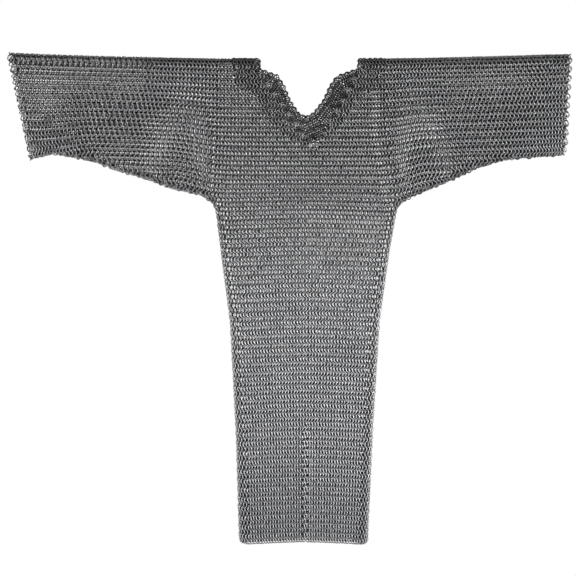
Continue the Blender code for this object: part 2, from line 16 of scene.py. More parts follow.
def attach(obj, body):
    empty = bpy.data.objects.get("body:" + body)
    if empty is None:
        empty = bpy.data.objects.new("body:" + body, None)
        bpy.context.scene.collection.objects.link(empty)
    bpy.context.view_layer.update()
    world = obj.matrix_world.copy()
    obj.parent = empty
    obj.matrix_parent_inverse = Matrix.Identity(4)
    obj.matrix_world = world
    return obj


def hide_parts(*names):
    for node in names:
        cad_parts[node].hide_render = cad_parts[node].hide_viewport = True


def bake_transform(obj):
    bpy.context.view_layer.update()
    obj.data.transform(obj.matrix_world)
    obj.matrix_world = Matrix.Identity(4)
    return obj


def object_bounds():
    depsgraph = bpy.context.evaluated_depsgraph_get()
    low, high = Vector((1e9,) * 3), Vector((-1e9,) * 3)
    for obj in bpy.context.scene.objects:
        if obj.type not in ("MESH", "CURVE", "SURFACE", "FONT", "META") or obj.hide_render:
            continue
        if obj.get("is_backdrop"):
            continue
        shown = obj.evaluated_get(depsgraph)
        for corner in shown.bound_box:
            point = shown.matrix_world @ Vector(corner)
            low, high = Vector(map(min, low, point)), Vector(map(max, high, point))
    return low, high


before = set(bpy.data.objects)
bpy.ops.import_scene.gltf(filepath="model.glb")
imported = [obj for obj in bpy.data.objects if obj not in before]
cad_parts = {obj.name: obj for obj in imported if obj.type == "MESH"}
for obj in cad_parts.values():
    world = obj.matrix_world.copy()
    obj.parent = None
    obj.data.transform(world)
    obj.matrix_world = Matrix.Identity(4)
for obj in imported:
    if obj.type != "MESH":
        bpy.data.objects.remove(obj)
CAD_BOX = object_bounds()

bl_info = {
    "name": "Mail Shirt",
    "version": (1, 0, 0),
    "blender": (4, 5, 0),
    "location": "View3D > Sidebar > Mail Shirt",
    "description": "Lays the rings of a four-in-one mail shirt over its fitted frame",
    "category": "Object",
}

FRONT, BACK = -1, 1
FACES = {"front": FRONT, "back": BACK}
# The wearer's left and right
SIDES = {"left": 1, "right": -1}

# The radius at which the middle of the mail bends over the top and round each side
BEND_RADIUS = 0.015
QUARTER_TURN = BEND_RADIUS * math.pi / 2
# The top line is lowest at the neck, and is this much higher at this distance from there
TOP_SAG = 0.0115
TOP_SAG_REACH = 0.538

# The line down the middle, which the slit in the hem opens along, and where it runs among the
# columns. Rows stand at whole and at half columns by turns
MIDDLE_X = -0.003
MIDDLE_COLUMN = 0.25
# Columns from the middle line to the middle of each side, and more than any row has to its end
COLUMNS_TO_SIDE = {1: 24.5, -1: 25.0}
MOST_COLUMNS = 119

# The height where the slit starts to open, the height that it opens over, how far its left edge hangs
# in front of the right one, and how many columns part at it and lap over it
SLIT_START = -0.643
SLIT_OPENS_OVER = 0.02
SLIT_LAP = 0.0014
SLIT_PART_COLUMNS = 4
SLIT_LAP_COLUMNS = 5

# Each side's fold from the cuff along the underside of the sleeve and down the body, as (x, z)
FOLDS = {
    1: (
        (0.4963, -0.1328), (0.4573, -0.1363), (0.3564, -0.1453), (0.3009, -0.1608),
        (0.2533, -0.1837), (0.2014, -0.2059), (0.1762, -0.2163), (0.1638, -0.2232),
        (0.1542, -0.2323), (0.1474, -0.2437), (0.1434, -0.2574), (0.1307, -0.3301),
        (0.1136, -0.4501), (0.1005, -0.6540), (0.0915, -0.8488), (0.0905, -0.8900),
    ),
    -1: (
        (0.5330, -0.1554), (0.4955, -0.1438), (0.4565, -0.1340), (0.3837, -0.1476),
        (0.3337, -0.1658), (0.2842, -0.1802), (0.2354, -0.1980), (0.1846, -0.2091),
        (0.1740, -0.2149), (0.1623, -0.2231), (0.1534, -0.2332), (0.1474, -0.2452),
        (0.1442, -0.2592), (0.1356, -0.3307), (0.1196, -0.4503), (0.1085, -0.6542),
        (0.1025, -0.8491), (0.1012, -0.8900),
    ),
}
# Below this height each fold runs down a side of the body
ARMPIT = -0.25
# Columns keep their width at the shoulders down to the first height, and share out the width between
# the folds from the second one down
SHOULDER_LOW = -0.08
BODY_TOP = -0.27
# Each cuff at the top line and at its lower corner, as (x, z), and how far inside it columns end
CUFFS = {1: ((0.4724, 0.0), (0.4640, -0.155)), -1: ((0.5305, 0.0), (0.4947, -0.162))}
CUFF_MARGIN = 0.001
# How far back the rings of each cuff's edge stand, how far they lean, how many rows each takes, and
# how far above the lower corner they end
CUFF_INSETS = {1: 0.0025, -1: 0.004}
CUFF_LEANS = {1: math.radians(22), -1: math.radians(44)}
CUFF_ROWS_A_RING = {1: 2.1, -1: 1.35}
CUFF_RINGS_END = 0.014

# How wide a column is at the shoulders, and how wide along the top and the bottom of each sleeve,
# as (share of the way to the cuff, width)
SHOULDER_COLUMNS = {1: 0.0059, -1: 0.0063}
SLEEVE_COLUMNS = {
    1: (
        ((0.0, 0.0060), (0.26, 0.0062), (0.36, 0.0076), (0.75, 0.0078), (1.0, 0.0064)),
        ((0.0, 0.0066), (0.10, 0.0074), (0.60, 0.0078), (0.80, 0.0062), (1.0, 0.0050)),
    ),
    -1: (
        ((0.0, 0.0064), (0.30, 0.0066), (0.38, 0.0092), (0.85, 0.0094), (1.0, 0.0080)),
        ((0.0, 0.0070), (0.08, 0.0090), (0.62, 0.0094), (0.80, 0.0064), (1.0, 0.0048)),
    ),
}
# The backs of the sleeves are fuller than their fronts, two columns to each one in front
SLEEVE_COLUMN_COUNT = {(FRONT, 1): 46.5, (FRONT, -1): 44.5, (BACK, 1): 93, (BACK, -1): 89}
# The depth at which the columns stand as along the bottom of the sleeve
SLEEVE_DEPTH = 0.17
# How finely the widths along a sleeve are added up, and how many places a column keeps
WIDTH_STEPS = 401
PLACES_A_COLUMN = 4

# The rows of each part, counted down from the top
SHOULDER_ROWS = 28
SLEEVE_ROWS = 40
LAST_ROW = 104
CHEST_ROWS = (0, 30)
SLEEVE_TOP_ROWS = (1, 10)
MIDRIFF_ROWS = (31, 49)
WAIST_ROWS = (50, 80)
SKIRT_ROWS = (81, LAST_ROW)
# The column from which rows pass over to their height on the sleeves, and in how many columns
SLEEVE_PASS_START = 20
SLEEVE_PASS_COLUMNS = 25
# The rows of the body rise to its middle from this height down, fully so after so much more, and
# fall to the sides by this power of the way there
ARCH_TOP = -0.17
ARCH_OVER = 0.1
ARCH_POWER = 1.5
# The longer sleeve droops from here outwards, fully so after so much more. It droops by its full
# measure at this depth and by this power of the way down there, on to so many times that way
DROOP_START = -0.38
DROOP_OVER = 0.12
DROOP_DEPTH = 0.15
DROOP_POWER = 1.5
DROOP_WAYS = 2

# The neck's edge in front and behind, as (x, z) from the left over the middle to the right
NECKS = {
    FRONT: ((0.0955, 0.1), (0.0955, 0.0), (0.0117, -0.146), (-0.0865, 0.0), (-0.0865, 0.1)),
    BACK: (
        (0.0955, 0.1), (0.0955, 0.0), (0.0566, -0.0123), (0.0430, -0.0315),
        (0.0332, -0.0543), (0.0147, -0.0788), (-0.0018, -0.0875), (-0.0162, -0.0788),
        (-0.0323, -0.0543), (-0.0408, -0.0315), (-0.0526, -0.0123), (-0.0865, 0.0),
        (-0.0865, 0.1),
    ),
}
# How far inside the neck's edge the rows end
NECK_MARGIN = 0.0022
# How far the middles of the rings round the neck stand back from its edge, and their lean
NECK_INSET = 0.002
NECK_LEAN = math.radians(34)
# The rows of close mail that stiffen the neck behind
COLLAR_ROWS = 9
COLLAR_INSET = 0.004
COLLAR_LEAN = math.radians(48)

# The rings that hang along the undersides of the sleeves: the height where they end, how many rows
# each takes, how far above the bottom of the fold they hang, and the ranges in which chance moves
# them down, moves them back and leans them in degrees
SEAM_LOWEST = -0.224
SEAM_ROWS_A_RING = 1.35
SEAM_RISE = 0.001
SEAM_DROPS = (-0.002, 0.001)
SEAM_DEPTHS = (-0.009, 0.002)
SEAM_LEANS = (15, 50)
# Woven rings within this share of a row from the underside's line are drawn onto it
SEAM_BAND_SHARE = 0.25

# How far rings lean out of the mail's surface, as (width of their column, degrees)
FRONT_LEANS = ((0.0042, 48), (0.0048, 46), (0.0054, 43), (0.0060, 38), (0.0067, 29), (0.0092, 26))
BACK_LEANS = ((0.0042, 33), (0.0054, 31), (0.0060, 28), (0.0067, 27), (0.0092, 25))
SLEEVE_BACK_LEANS = ((0.0025, 54), (0.0030, 45), (0.0034, 40), (0.0037, 57), (0.0047, 48))

# The steps over which the ways along the mail are measured: in rows and columns, and at edges
LOOK_STEP = 0.2
EDGE_STEP = 0.002
# Rings whose middles are nearer than this crowd each other
LEAST_GAP = 0.0026

# The back hangs a little aside, so that its wires stand behind the holes of the front. Its columns
# stand this share further from the middle, and this share of a column to the left, from this height
# down, fully so after so much more, and less so in the last columns before each side
BACK_SPREAD = 0.0087
BACK_ASIDE_SHARE = 0.25
BACK_TOP = -0.01
BACK_OVER = 0.04
BACK_FADE_COLUMNS = 6
# How far the backs of the sleeves hang below their fronts
BACK_DROP = 0.0012

# Where a bend of the mail at each joint would start and end; the sleeves are laid without it
SLEEVE_BEND = ((0.163, 0, 0), (0.247, 0, 0))

# How many faces a ring has round itself and round its wire, and how near its doubles are
RING_FACES = 12
WIRE_FACES = 4
DOUBLES = 0.00001
# The lap takes this share of the way round on each side of its rivet. The rivet stands this share of
# the way round the wire, and is the one corner of the sheet that is as near as this to there
LAP_SHARE = 1 / 7
RIVET_TURN_SHARE = 0.25
RIVET_NEAR_SHARE = 0.01
# Brightness runs from the inside of the mail to its outside over this share of a ring's diameter: dark
# inside, partly with oxide and partly as painted shade, and bright from rubbing outside
RUB_AND_SHADE_DEPTH_SHARE = 0.6
# The margin round each ring's cell in the OFBake map, as a share of the cell
CELL_MARGIN_SHARE = 0.08

# Fine grain, cloudy patina and pits in the steel, and how deep the pits look
GRAIN = {"Scale": 900.0, "Detail": 3.0}
PATINA = {"Scale": 16.0, "Detail": 2.0}
PITS = {"Scale": 2600.0, "Detail": 2.0}
PIT_BUMP = {"Strength": 0.35, "Distance": 0.0001}
# How much of the brightness comes from rubbing and painted shade by depth in the mail, from the grain
# and from the patina, what is taken off it, and the value at which oxide and painted shade start to go
# and are gone
RUB_AND_SHADE_SHARE = 0.8
GRAIN_SHARE = 0.2
PATINA_SHARE = 0.2
WEAR_OFF = 0.16
OXIDE_GOES = 0.35
OXIDE_GONE = 0.9
# How rough unworn steel is, and how much smoother fully worn steel is
ROUGHNESS = 0.7
POLISH = 0.3
# The steel's colours by their depth below the neck, with painted shade: darkest over the shoulders,
# which turn up away from the light, brightest at the waist and darker again at the hem
BODY_STEELS_AND_SHADE = (
    (0.05, "shaded_shoulder_steel"),
    (0.25, "breast_steel"),
    (0.40, "waist_steel"),
    (0.65, "waist_steel"),
    (0.85, "hem_steel"),
)
SLEEVE_STEELS = ((0.05, "sleeve_steel"),)

# The background's heights, as the upward part of a ray, up to which it is white and from which it is
# dark, with those colours
WHITE_UP_TO = 0.35
DARK_FROM = 0.75
WHITE = (1, 1, 1, 1)
DARK = (0.08, 0.08, 0.08, 1)
# The floor's half width, the scale of its grain, its two tones, and how strongly it glows where it is
# seen as background
FLOOR_REACH = 2.0
FLOOR_GRAIN = 30.0
FLOOR_TONES = ((0.86, 0.86, 0.86, 1), (0.90, 0.90, 0.90, 1))
FLOOR_GLOW = 0.6
# Where each light stands and how large it is, the place that both are turned to, and the middle of
# the view as x and z
LIGHTS = {
    "key": ((1.5, -2.3, -0.85), (1.4, 1.2)),
    "fill": ((-1.6, -2.2, -0.3), (1.4, 1.4)),
}
LIT_PLACE = (0, 0, -0.35)
VIEW_MIDDLE = (-0.0333, -0.394)

# Distances that count as none, and the share that settles which of two equally near runs counts
NEAR = 1e-6
TINY = 1e-9
TIE_SHARE = 1e-4

# The nodes of the source that each piece stands for
NODES_OF = {
    "chest_mail_front": ("yoke_front_left", "yoke_front_right", "chest_front"),
    "chest_mail_back": (
        "yoke_back_left",
        "yoke_back_right",
        "chest_back",
        "shoulder_top_left",
        "shoulder_top_right",
    ),
    "midriff_mail_front": ("midriff_front", "midriff_side_left", "midriff_side_right"),
    "midriff_mail_back": ("midriff_back",),
    "waist_mail_front": ("waist_fold", "waist_front", "waist_side_left", "waist_side_right"),
    "waist_mail_back": ("waist_back",),
}
for hand in SIDES:
    NODES_OF["sleeve_mail_front_" + hand] = (
        "shoulder_fold_" + hand,
        "armpit_gusset_" + hand,
        "sleeve_front_" + hand,
        "sleeve_under_" + hand,
    )
    NODES_OF["sleeve_mail_back_" + hand] = ("sleeve_back_" + hand,)
    NODES_OF["sleeve_mail_top_" + hand] = ("sleeve_top_" + hand,)
    NODES_OF["skirt_mail_" + hand] = (
        "hip_fold_" + hand,
        "skirt_front_" + hand,
        "skirt_back_" + hand,
        "skirt_side_" + hand,
    )


def number(name, description, default, **kind):
    return bpy.props.FloatProperty(name=name, description=description, default=default, **kind)


def steel_colour(name, description, default):
    return bpy.props.FloatVectorProperty(
        name=name, description=description, default=default, subtype="COLOR"
    )


class WeaveSizes(bpy.types.PropertyGroup):
    """The rings and how they are laid."""

    ring_outside: number("Ring Outside", "Outside diameter of a ring", 0.0126, unit="LENGTH")
    wire: number("Wire", "Thickness of the wire that a ring is made of", 0.002, unit="LENGTH")
    lap_width: number(
        "Lap Width",
        "How much wider the wire is where its ends are riveted, as a share",
        0.35,
        subtype="FACTOR",
    )
    rivet_height: number(
        "Rivet Height", "How far the rivet stands out of the lap", 0.0005, unit="LENGTH"
    )
    shoulder_row: number(
        "Shoulder Row", "Height of a row over the shoulders and chest", 0.0086, unit="LENGTH"
    )
    sleeve_row: number("Sleeve Row", "Height of a row on the sleeves", 0.0079, unit="LENGTH")
    body_row: number("Body Row", "Height of a row below the chest", 0.00827, unit="LENGTH")
    row_arch: number(
        "Row Arch",
        "How much higher the rows of the body are in its middle than at its sides",
        0.006,
        unit="LENGTH",
    )
    cuff_droop: number(
        "Cuff Droop",
        "How far the rows sink at the lower corner of the longer sleeve",
        0.018,
        unit="LENGTH",
    )
    slit_opening: number(
        "Slit Opening",
        "How far each side of the slit stands away from its middle",
        0.0012,
        unit="LENGTH",
    )
    edge_pitch: number("Edge Pitch", "Spacing of the rings along the neck", 0.0112, unit="LENGTH")
    collar_pitch: number(
        "Collar Pitch", "Spacing of the rings in the close rows behind the neck", 0.0042, unit="LENGTH"
    )
    collar_row: number(
        "Collar Row", "Height of each close row behind the neck", 0.005, unit="LENGTH"
    )
    scatter: number("Scatter", "How far a ring lies off its exact place", 0.0002, unit="LENGTH")
    wobble: number(
        "Wobble", "How far a ring turns off its exact lean", math.radians(2), unit="ROTATION"
    )
    seed: bpy.props.IntProperty(
        name="Seed",
        description="Starts the small chance differences between rings",
        default=7,
    )


class SteelFinish(bpy.types.PropertyGroup):
    """The colour, rubbing, oxide and painted shade of the rings."""

    # The steel over the shoulders is darker than the rest as painted shade
    shaded_shoulder_steel: steel_colour(
        "Shaded Shoulder Steel", "Colour of the steel over the shoulders", (0.235, 0.238, 0.245)
    )
    breast_steel: steel_colour(
        "Breast Steel", "Colour of the steel at the breast", (0.36, 0.364, 0.375)
    )
    waist_steel: steel_colour(
        "Waist Steel", "Colour of the steel from the midriff down to the slit", (0.49, 0.495, 0.508)
    )
    hem_steel: steel_colour("Hem Steel", "Colour of the steel at the hem", (0.39, 0.394, 0.405))
    sleeve_steel: steel_colour(
        "Sleeve Steel", "Colour of the steel of the sleeves", (0.355, 0.359, 0.369)
    )
    # The dark of oxide, which also serves as the painted shade deep in the mail
    oxide: number(
        "Oxide", "Share of light that is left where dark oxide covers the steel", 0.16, subtype="FACTOR"
    )
    tone_spread: number(
        "Tone Spread", "How much one ring differs in tone from the next", 0.12, subtype="FACTOR"
    )
    metallic: number("Metallic", "Share of bare metal in the surface", 0.9, subtype="FACTOR")


class StageSettings(bpy.types.PropertyGroup):
    """The floor, the light and the camera."""

    floor_height: number(
        "Floor Height", "Height of the floor under the shirt", -1.25, unit="LENGTH"
    )
    key_power: number("Key Power", "Strength of the soft light in front", 60.0, unit="POWER")
    fill_power: number(
        "Fill Power", "Strength of the softer light from the other side", 12.0, unit="POWER"
    )
    ambient: number("Ambient", "Strength of the light from all round", 0.3)
    lens: number("Lens", "Focal length of the camera in millimetres", 120.0)
    view_width: number("View Width", "Width of the view at the shirt", 1.0368, unit="LENGTH")


class Nodes:
    """Adds nodes to a tree and joins their sockets."""

    def __init__(self, tree):
        self.tree = tree

    def add(self, kind, inputs=None, **settings):
        node = self.tree.nodes.new(kind)
        for name, value in settings.items():
            setattr(node, name, value)
        for name, value in (inputs or {}).items():
            self.put(node.inputs[name], value)
        return node

    def put(self, socket, value):
        if isinstance(value, bpy.types.NodeSocket):
            self.tree.links.new(value, socket)
        else:
            socket.default_value = value

    def math(self, operation, first, second=0.0):
        return self.add("ShaderNodeMath", {0: first, 1: second}, operation=operation).outputs[0]

    def vector(self, operation, first, second):
        node = self.add("ShaderNodeVectorMath", operation=operation)
        self.put(node.inputs[0], first)
        self.put(node.inputs["Scale" if operation == "SCALE" else 1], second)
        return node.outputs["Value" if operation == "DOT_PRODUCT" else "Vector"]

    def store(self, geometry, name, value, kind, domain):
        node = self.add(
            "GeometryNodeStoreNamedAttribute",
            {"Geometry": geometry, "Name": name, "Value": value},
            data_type=kind,
            domain=domain,
        )
        return node.outputs[0]


# The flat pattern of the mail


def smooth(share):
    """A share between 0 and 1 that leaves both softly."""
    share = np.clip(share, 0, 1)
    return share * share * (3 - 2 * share)


def top_height(x):
    """Height of the axis of the bend along the top, which is lowest at the neck."""
    return TOP_SAG * (x / TOP_SAG_REACH) ** 2


def follow(path, points):
    """How far points lie outside a path, the nearest places on it, and the way out there."""
    path = np.array(path, float)
    start, run = path[:-1], np.diff(path, axis=0)
    share = ((points[:, None] - start) * run).sum(2) / (run**2).sum(1)
    foot = start + np.clip(share, 0, 1)[..., None] * run
    gap = points[:, None] - foot
    distance = np.linalg.norm(gap, axis=2)
    off = (run[:, 0] * gap[..., 1] - run[:, 1] * gap[..., 0]) / np.linalg.norm(run, axis=1)
    # Where two runs meet at the nearest place, the squarer one tells the side
    best = (distance - TIE_SHARE * np.abs(off)).argmin(1)
    pick = np.arange(len(points)), best
    foot, gap, distance, run = foot[pick], gap[pick], distance[pick], run[best]
    side = np.where(off[pick] > 0, 1.0, -1.0)
    square = np.stack((-run[:, 1], run[:, 0]), 1) / np.linalg.norm(run, axis=1)[:, None]
    near = (distance < NEAR)[:, None]
    out = np.where(near, square, side[:, None] * gap / np.maximum(distance, TINY)[:, None])
    return side * distance, foot, out


def fold_x(side, z):
    """Distance of a side's fold from the middle of the neck, below the armpit."""
    down = [point for point in FOLDS[side] if point[1] < ARMPIT]
    return np.interp(-z, [-point[1] for point in down], [point[0] for point in down])


def column_width(side, z):
    """Width of a body column at height z."""
    low = np.minimum(z, BODY_TOP)
    body = (fold_x(side, low) - side * MIDDLE_X + QUARTER_TURN) / COLUMNS_TO_SIDE[side]
    share = smooth((SHOULDER_LOW - z) / (SHOULDER_LOW - BODY_TOP))
    return np.where(z < BODY_TOP, body, SHOULDER_COLUMNS[side] * (1 - share) + body * share)


def cuff_x(side, z):
    """Distance of a side's cuff from the middle of the neck, at height z."""
    (top_x, top_z), (low_x, low_z) = CUFFS[side]
    return top_x + (top_x - low_x) / (top_z - low_z) * (z - top_z)


def sleeve_shares(widths, count):
    """Shares of the way from the body to the cuff at which a sleeve's columns stand."""
    shares = np.linspace(0, 1, WIDTH_STEPS)
    width = np.interp(shares, [w[0] for w in widths], [w[1] for w in widths])
    passed = np.concatenate(([0], np.cumsum(2 / (width[1:] + width[:-1]))))
    places = np.linspace(0, 1, int(count * PLACES_A_COLUMN) + 1)
    return np.interp(places, passed / passed[-1], shares)


SLEEVE_SHARES = {
    key: [sleeve_shares(widths, count) for widths in SLEEVE_COLUMNS[key[1]]]
    for key, count in SLEEVE_COLUMN_COUNT.items()
}


def row_depth(row, out, sizes):
    """How far a row lies below the top, measured along the mail."""
    shoulder = (row + 0.5) * sizes.shoulder_row
    last = (SHOULDER_ROWS - 0.5) * sizes.shoulder_row
    body = last + (row - SHOULDER_ROWS + 1) * sizes.body_row
    body = np.where(row < SHOULDER_ROWS - 1, shoulder, body)
    sleeve = (row + 0.5) * sizes.sleeve_row
    share = smooth((out - SLEEVE_PASS_START) / SLEEVE_PASS_COLUMNS)
    return body * (1 - share) + sleeve * share


def columns_to_side(column):
    """How many columns there are from the middle line to the side that a column is on."""
    return np.where(column < MIDDLE_COLUMN, COLUMNS_TO_SIDE[-1], COLUMNS_TO_SIDE[1])


def by_slit(z, out, columns):
    """1 at the slit, and 0 above it and so many columns away from it."""
    return smooth((SLIT_START - z) / SLIT_OPENS_OVER) * (1 - smooth(out / columns))


def lay(face, row, column, sizes):
    """Where a place in the weave lies in the flat front view, as x and z."""
    side = np.where(column < MIDDLE_COLUMN, -1, 1)
    out = np.abs(column - MIDDLE_COLUMN)
    z = QUARTER_TURN - row_depth(row, out, sizes)
    x = np.empty_like(z)
    width_here = np.empty_like(z)
    for part, count in SLEEVE_COLUMN_COUNT.items():
        sign = part[1]
        mine = (side == sign) & (face == part[0])
        width = column_width(sign, z[mine])
        width_here[mine] = width
        reach = out[mine] * width
        slit = by_slit(z[mine], out[mine], SLIT_PART_COLUMNS)
        reach = reach + sizes.slit_opening * slit * (part[0] == FRONT)
        edge = COLUMNS_TO_SIDE[sign] * width
        cuff = cuff_x(sign, z[mine]) - CUFF_MARGIN - sign * MIDDLE_X
        share = (out[mine] - COLUMNS_TO_SIDE[sign]) / count
        stops = np.linspace(0, 1, len(SLEEVE_SHARES[part][0]))
        top, bottom = (np.interp(share, stops, table) for table in SLEEVE_SHARES[part])
        beyond = np.maximum(share - 1, 0)
        low = smooth(-z[mine] / SLEEVE_DEPTH)
        share = top * (1 - low) + bottom * low + beyond
        sleeve = edge + (cuff - edge) * share
        x[mine] = MIDDLE_X + sign * np.where(out[mine] > COLUMNS_TO_SIDE[sign], sleeve, reach)
    half = columns_to_side(column)
    lift = smooth((ARCH_TOP - z) / ARCH_OVER) * (1 - np.clip(out / half, 0, 1) ** ARCH_POWER)
    z = z + sizes.row_arch * lift
    drawn = np.clip(-z / DROOP_DEPTH, 0, DROOP_WAYS) ** DROOP_POWER
    z = z - sizes.cuff_droop * smooth((DROOP_START - x) / DROOP_OVER) * drawn
    behind = (face == BACK) * smooth((BACK_TOP - z) / BACK_OVER)
    inside = smooth((half - out) / BACK_FADE_COLUMNS)
    x = x + behind * inside * (BACK_ASIDE_SHARE * width_here + BACK_SPREAD * (x - MIDDLE_X))
    z = z - behind * smooth((out - half) / BACK_FADE_COLUMNS) * BACK_DROP
    return x, z


def by_folds(x, z):
    """For each side: which places hang there, and how they lie to the side's fold."""
    for sign in SIDES.values():
        mine = np.nonzero((sign * (x - MIDDLE_X) > 0) & (z <= 0))[0]
        flat = np.stack((sign * x[mine], z[mine] + top_height(x[mine])), 1)
        yield sign, mine, *follow(FOLDS[sign], flat)


def surface(face, x, z):
    """Points on the middle of the hanging mail for places in the flat front view."""
    up = np.clip(z, 0, None) / BEND_RADIUS
    level = np.where(z > 0, BEND_RADIUS * np.sin(up), z) + top_height(x)
    points = np.stack((x, face * BEND_RADIUS * np.cos(up), level), 1)
    for sign, mine, beyond, foot, out in by_folds(x, z):
        past = beyond > 0
        turn = beyond[past] / BEND_RADIUS
        place = foot[past] + out[past] * (BEND_RADIUS * np.sin(turn))[:, None]
        points[mine[past], 0] = sign * place[:, 0]
        points[mine[past], 1] = face[mine[past]] * BEND_RADIUS * np.cos(turn)
        points[mine[past], 2] = place[:, 1]
    return points


def beyond_fold(x, z):
    """How far places in the flat front view lie past the fold, and where the fold's middle is."""
    beyond = np.full(len(x), -1.0)
    seam = np.stack((x, z), 1)
    for sign, mine, past, foot, out in by_folds(x, z):
        beyond[mine] = past
        place = foot + out * QUARTER_TURN
        seam[mine, 0] = sign * place[:, 0]
        seam[mine, 1] = place[:, 1] - top_height(place[:, 0])
    return beyond, seam


def unit(vectors):
    return vectors / np.maximum(np.linalg.norm(vectors, axis=1), TINY)[:, None]


class Rings:
    """Rings as arrays: where each is, its axis, the ways down and out, and its row and column.

    The way out is the side on which the ring is bright from rubbing, with painted shade towards the
    inside of the mail, and is zero where both sides are alike.
    """

    def __init__(self, centre, along, down, lean, row, column, face):
        normal = unit(np.cross(down, along))
        down = unit(down)
        along = np.cross(normal, down)
        self.centre, self.out = centre, normal
        self.axis = normal * np.cos(lean)[:, None] + along * np.sin(lean)[:, None]
        self.down = down
        self.row, self.column, self.face = row, column, face

    def pick(self, chosen):
        new = object.__new__(Rings)
        for name, value in vars(self).items():
            setattr(new, name, value[chosen])
        return new

    @staticmethod
    def joined(groups):
        new = object.__new__(Rings)
        for name in vars(groups[0]):
            setattr(new, name, np.concatenate([getattr(group, name) for group in groups]))
        return new


def lean_at(width, leans):
    return np.radians(np.interp(width, *zip(*leans)))


def grid():
    """The row, the column and the face of every place in the weave."""
    rows, columns, faces = [], [], []
    for face in (FRONT, BACK):
        for row in range(LAST_ROW + 1):
            step = ((row + (face == BACK)) % 2) / 2
            line = np.arange(-MOST_COLUMNS, MOST_COLUMNS) + step
            rows.append(np.full(len(line), float(row)))
            columns.append(line)
            faces.append(np.full(len(line), face))
    return (np.concatenate(parts) for parts in (rows, columns, faces))


def weave(sizes):
    """Every ring of the shirt but those of its edges."""
    row, column, face = grid()
    out = np.abs(column - MIDDLE_COLUMN)
    to_side = columns_to_side(column)
    to_cuff = to_side.copy()
    for (side, sign), count in SLEEVE_COLUMN_COUNT.items():
        to_cuff[(face == side) & (sign * (column - MIDDLE_COLUMN) > 0)] += count
    in_body = out <= to_side
    kept = in_body | ((out <= to_cuff) & (row < SLEEVE_ROWS))
    row, column, face = row[kept], column[kept], face[kept]
    in_body = in_body[kept]
    x, z = lay(face, row, column, sizes)
    beyond, seam = beyond_fold(x, z)
    half_band = SEAM_BAND_SHARE * sizes.sleeve_row
    on_seam = ~in_body & (np.abs(beyond - QUARTER_TURN) < half_band) & (face == FRONT)
    kept = in_body | (beyond < QUARTER_TURN - half_band) | on_seam
    for side in (FRONT, BACK):
        opening, _, _ = follow(NECKS[side], np.stack((x, z), 1))
        collar = COLLAR_INSET - NECK_INSET + (COLLAR_ROWS - 1) * sizes.collar_row
        margin = NECK_MARGIN + collar * (side == BACK)
        kept &= (face != side) | (opening > margin)
    row, column, face, x, z, in_body = (
        part[kept] for part in (row, column, face, x, z, in_body)
    )
    shift = np.where(on_seam[kept][:, None], seam[kept] - np.stack((x, z), 1), 0.0)

    def at(row_step, column_step):
        there_x, there_z = lay(face, row + row_step, column + column_step, sizes)
        return surface(face, there_x + shift[:, 0], there_z + shift[:, 1])

    centre = at(0, 0)
    out = column - MIDDLE_COLUMN
    centre[:, 1] += face * np.sign(out) * SLIT_LAP * by_slit(z, np.abs(out), SLIT_LAP_COLUMNS)
    along = (at(0, LOOK_STEP) - at(0, -LOOK_STEP)) / (2 * LOOK_STEP)
    down = at(LOOK_STEP, 0) - at(-LOOK_STEP, 0)
    width = np.linalg.norm(along, axis=1)
    along = along * np.where(face == FRONT, 1, -1)[:, None]
    lean = np.where(in_body, lean_at(width, BACK_LEANS), lean_at(width, SLEEVE_BACK_LEANS))
    lean = np.where(face == FRONT, lean_at(width, FRONT_LEANS), lean)
    return Rings(centre, along, down, -lean * (-1.0) ** row, row, column, face)


def walk(path, pitch):
    """Places at a steady pitch along a path, and the direction there."""
    path = np.array(path, float)
    run = np.diff(path, axis=0)
    length = np.linalg.norm(run, axis=1)
    passed = np.concatenate(([0], np.cumsum(length)))
    count = max(round(passed[-1] / pitch), 1)
    stops = (np.arange(count) + 0.5) * passed[-1] / count
    place = np.stack([np.interp(stops, passed, path[:, i]) for i in range(path.shape[1])], 1)
    step = np.searchsorted(passed, stops, side="right") - 1
    return place, run[step] / length[step][:, None]


def edge_rings(face, place, direction, outward, lean):
    """Rings along an edge, given in the flat front view, with their planes towards its outside."""
    count = len(place)
    face = np.full(count, face)
    points = surface(face, *place.T)
    along = surface(face, *(place + EDGE_STEP * direction).T) - points
    away = points - surface(face, *(place - EDGE_STEP * outward).T)
    inwards = np.cross(away, along)[:, 1] * face < 0
    along = np.where(inwards[:, None], -along, along)
    zeros = np.zeros(count)
    return Rings(points, along, away, lean, zeros, np.sign(place[:, 0] - MIDDLE_X), face)


def turned(direction, sign):
    """Flat directions turned a quarter, to the left for 1 and to the right for -1."""
    return sign * np.stack((-direction[:, 1], direction[:, 0]), 1)


def beside(path, distance):
    """The path moved to its left by this distance, with its corners kept."""
    path = np.array(path, float)
    way = turned(unit(np.diff(path, axis=0)), 1)
    way = unit(np.vstack((way[:1], way[:-1] + way[1:], way[-1:])))
    return path + distance * way


def neck_rings(sizes):
    """The rings round the neck, in one row along its edge and in close rows inside that behind."""
    paths = {face: [(x, min(z, QUARTER_TURN)) for x, z in NECKS[face]] for face in NECKS}
    groups = []
    for face, path in paths.items():
        place, direction = walk(beside(path, NECK_INSET), sizes.edge_pitch)
        lean = NECK_LEAN * (-1.0) ** np.arange(len(place))
        groups.append(edge_rings(face, place, direction, turned(direction, -1), lean))
    for row in range(COLLAR_ROWS):
        line = beside(paths[BACK], COLLAR_INSET + row * sizes.collar_row)
        place, direction = walk(line, sizes.collar_pitch)
        place = place + (row % 2) / 2 * sizes.collar_pitch * direction
        lean = np.full(len(place), COLLAR_LEAN * (-1) ** row)
        rings = edge_rings(BACK, place, direction, turned(direction, -1), lean)
        # Close mail shows both its sides, and has the same brightness from rubbing and painted shade on
        # them
        rings.out = 0 * rings.out
        groups.append(rings)
    return Rings.joined(groups)


